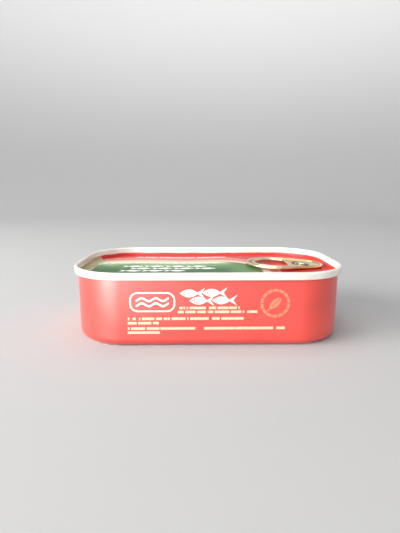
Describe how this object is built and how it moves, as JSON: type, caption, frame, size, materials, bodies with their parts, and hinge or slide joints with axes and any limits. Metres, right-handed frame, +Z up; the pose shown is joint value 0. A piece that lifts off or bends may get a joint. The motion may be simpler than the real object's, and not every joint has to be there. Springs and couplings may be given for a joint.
{
  "type": "sardine tin",
  "caption": "Shut rectangular fish tin with rounded corners, a seamed lid with a sunk printed panel, and a ring pull held by a rivet.",
  "frame": {"origin": "middle of the plane of the resting ring under the tin", "axes": "+X along the tin towards the end where the nose of the ring pull lies, +Y across it towards the back long side, +Z up through the lid"},
  "size_m": [0.105, 0.06, 0.028],
  "materials": {
    "red_lacquer": "glossy red lacquer on drawn sheet metal, with a white and cream print of plain shapes",
    "white_lacquer": "glossy white enamel",
    "lid_print": "satin varnish over a red, cream and green print",
    "gold_metal": "pale gold lacquer over bright metal",
    "bare_metal": "clear lacquer over bright metal"
  },
  "bodies": {
    "root": {"body": "red_lacquer", "lid": "white_lacquer", "tab": "gold_metal"}
  },
  "joints": []
}
